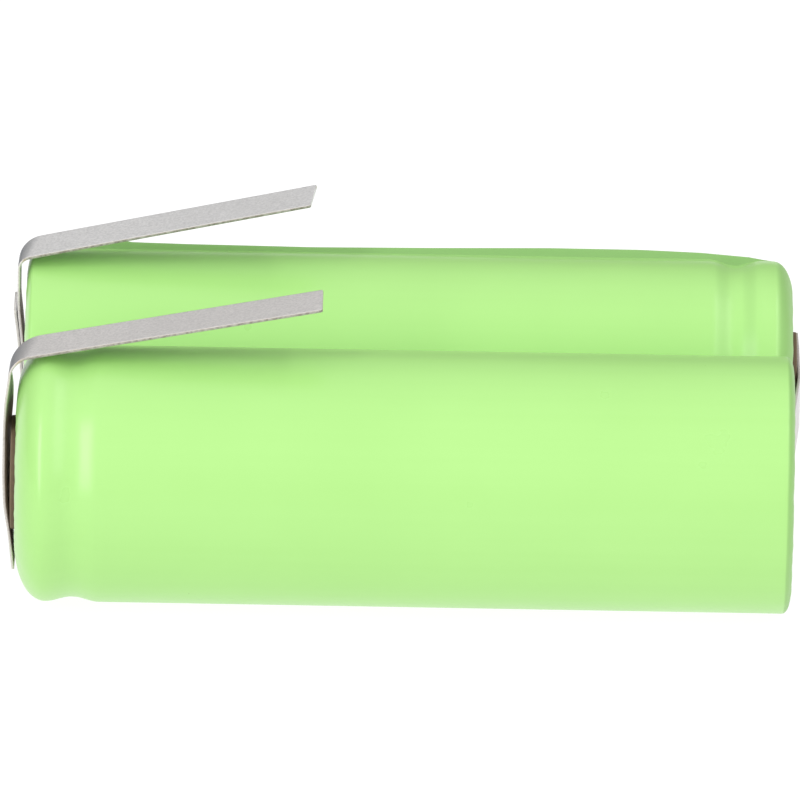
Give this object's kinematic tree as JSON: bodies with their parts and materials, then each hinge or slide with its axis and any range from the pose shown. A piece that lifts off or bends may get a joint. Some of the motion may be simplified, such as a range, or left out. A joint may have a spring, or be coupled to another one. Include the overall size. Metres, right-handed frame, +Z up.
{
  "type": "battery pack",
  "caption": "Side-by-side pair of cylindrical rechargeable cells in green heat-shrink sleeves, bridged at one end, with two bent solder tags at the other.",
  "frame": {"origin": "below the middle of the pack's box, on the surface that the two cells rest on", "axes": "+X along the cells, from the tagged end to the bridged end; +Y from the front cell, whose positive end is at -X, to the rear cell; +Z up"},
  "size_m": [0.044, 0.0284, 0.0183],
  "materials": {
    "sleeve_film": "smooth heat-shrink film with a soft gloss",
    "nickel_strip": "matt rolled nickel with fine grain along the strip",
    "plated_steel": "drawn nickel-plated steel",
    "cap_steel": "bright nickel-plated pressing",
    "fibre": "brown vulcanised fibre",
    "nylon": "natural nylon",
    "rubber": "moulded black rubber",
    "nickel_hydroxide": "pressed dark powder on nickel foam",
    "hydrogen_alloy": "rolled grey alloy powder on perforated steel",
    "separator_fleece": "thin white non-woven"
  },
  "bodies": {
    "pack": {"front_sleeve": "sleeve_film", "front_fibre_washer": "fibre", "front_can": "plated_steel", "front_cap": "cap_steel", "front_lid": "plated_steel", "front_gasket": "nylon", "front_vent_spring": "plated_steel", "front_positive_lead": "nickel_strip", "front_collector_disc": "nickel_strip", "front_top_insulator": "nylon", "front_positive_electrode": "nickel_hydroxide", "front_inner_separator": "separator_fleece", "front_outer_separator": "separator_fleece", "front_negative_electrode": "hydrogen_alloy", "front_bottom_insulator": "nylon", "rear_sleeve": "sleeve_film", "rear_fibre_washer": "fibre", "rear_can": "plated_steel", "rear_cap": "cap_steel", "rear_lid": "plated_steel", "rear_gasket": "nylon", "rear_vent_spring": "plated_steel", "rear_positive_lead": "nickel_strip", "rear_collector_disc": "nickel_strip", "rear_top_insulator": "nylon", "rear_positive_electrode": "nickel_hydroxide", "rear_inner_separator": "separator_fleece", "rear_outer_separator": "separator_fleece", "rear_negative_electrode": "hydrogen_alloy", "rear_bottom_insulator": "nylon", "front_tag_weld_leg": "nickel_strip", "rear_tag_weld_leg": "nickel_strip", "rear_tag_backing_strip": "nickel_strip", "bridge_strip": "nickel_strip"},
    "front_tag": {"front_tag_free_leg": "nickel_strip"},
    "rear_tag": {"rear_tag_free_leg": "nickel_strip"},
    "front_vent": {"front_vent_seal": "rubber", "front_vent_plate": "plated_steel"},
    "rear_vent": {"rear_vent_seal": "rubber", "rear_vent_plate": "plated_steel"}
  },
  "joints": [
    {"name": "front_tag_bend", "type": "hinge", "parent": "pack", "child": "front_tag", "pos_m": [-0.02137, -0.00713, 0.01391], "axis": [0, -1, 0], "range_deg": [-11, 79]},
    {"name": "rear_tag_bend", "type": "hinge", "parent": "pack", "child": "rear_tag", "pos_m": [-0.02131, 0.00713, 0.01426], "axis": [0, -1, 0], "range_deg": [-13.5, 77]},
    {"name": "front_vent_lift", "type": "slide", "parent": "pack", "child": "front_vent", "axis": [-1, 0, 0], "range_m": [0, 0.00025], "stiffness_N_per_m": 100, "deforming": ["front_vent_spring"]},
    {"name": "rear_vent_lift", "type": "slide", "parent": "pack", "child": "rear_vent", "axis": [1, 0, 0], "range_m": [0, 0.00025], "stiffness_N_per_m": 100, "deforming": ["rear_vent_spring"]}
  ]
}
